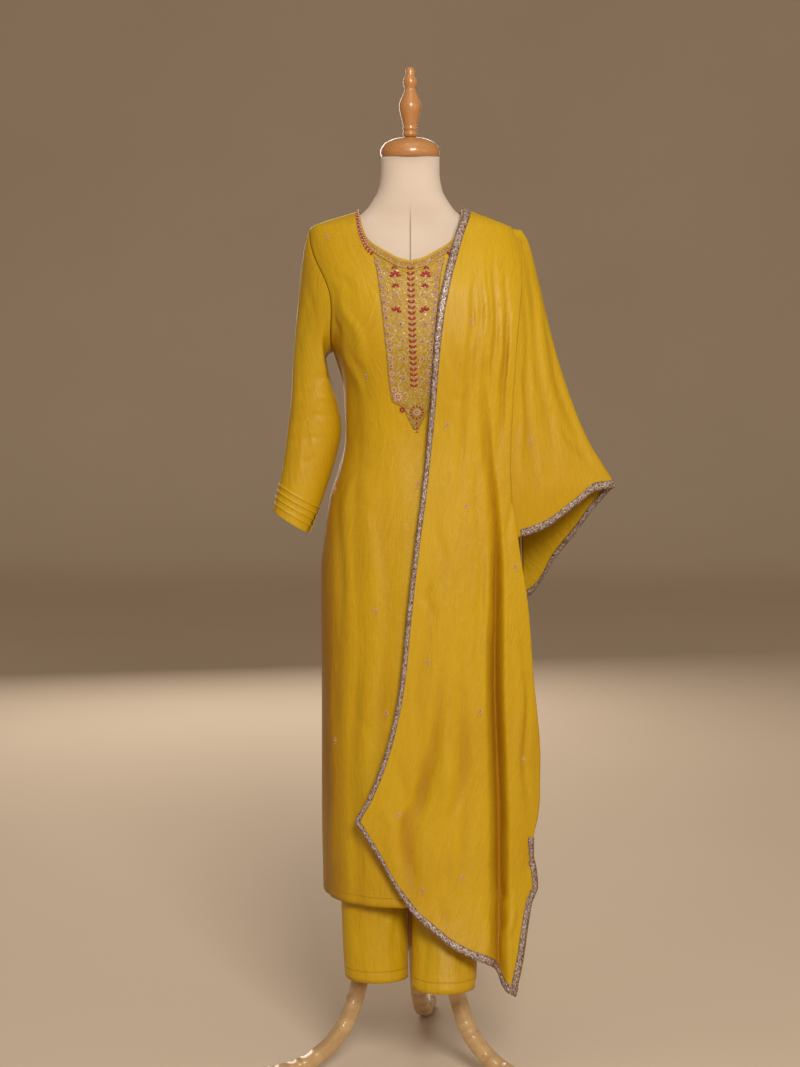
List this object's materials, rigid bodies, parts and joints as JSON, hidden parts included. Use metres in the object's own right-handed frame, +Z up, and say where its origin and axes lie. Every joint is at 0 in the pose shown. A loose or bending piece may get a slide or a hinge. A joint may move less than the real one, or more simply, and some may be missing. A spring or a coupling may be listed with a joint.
{
  "type": "salwar kameez suit on dress form",
  "caption": "Mustard silk kurta, straight trousers and lace-edged dupatta worn by a limbless dress form on a wooden tripod stand",
  "frame": {"origin": "On the floor under the middle of the whole model's box", "axes": "+Z is up, -Y is the wearer's front, +X is the wearer's left, over whose shoulder the dupatta lies"},
  "size_m": [0.6022, 0.4563, 1.7085],
  "materials": {
    "silk": "mustard yellow slubbed silk with a soft sheen",
    "embroidery": "dense gold and pink stitching on the same silk",
    "lace": "glittering silver and rose gold thread lace",
    "linen": "cream cotton cover, matt",
    "wood": "honey coloured beech, varnished"
  },
  "bodies": {
    "root": {"form_torso": "linen", "form_neck_cap": "wood", "form_finial": "wood", "stand_pole": "wood", "stand_hub": "wood", "stand_leg_right": "wood", "stand_leg_left": "wood", "stand_leg_back": "wood", "kurta_front": "silk", "kurta_back": "silk", "kurta_sleeve_right": "silk", "kurta_sleeve_left": "silk", "kurta_neck_band": "embroidery", "kurta_yoke": "embroidery", "trouser_leg_right": "silk", "trouser_leg_left": "silk", "trouser_waistband": "silk", "dupatta_front": "silk", "dupatta_arm": "silk", "dupatta_back": "silk", "dupatta_lace_inner": "lace", "dupatta_lace_end": "lace", "dupatta_lace_arm": "lace", "dupatta_lace_back_inner": "lace", "dupatta_lace_back_end": "lace"}
  },
  "joints": []
}
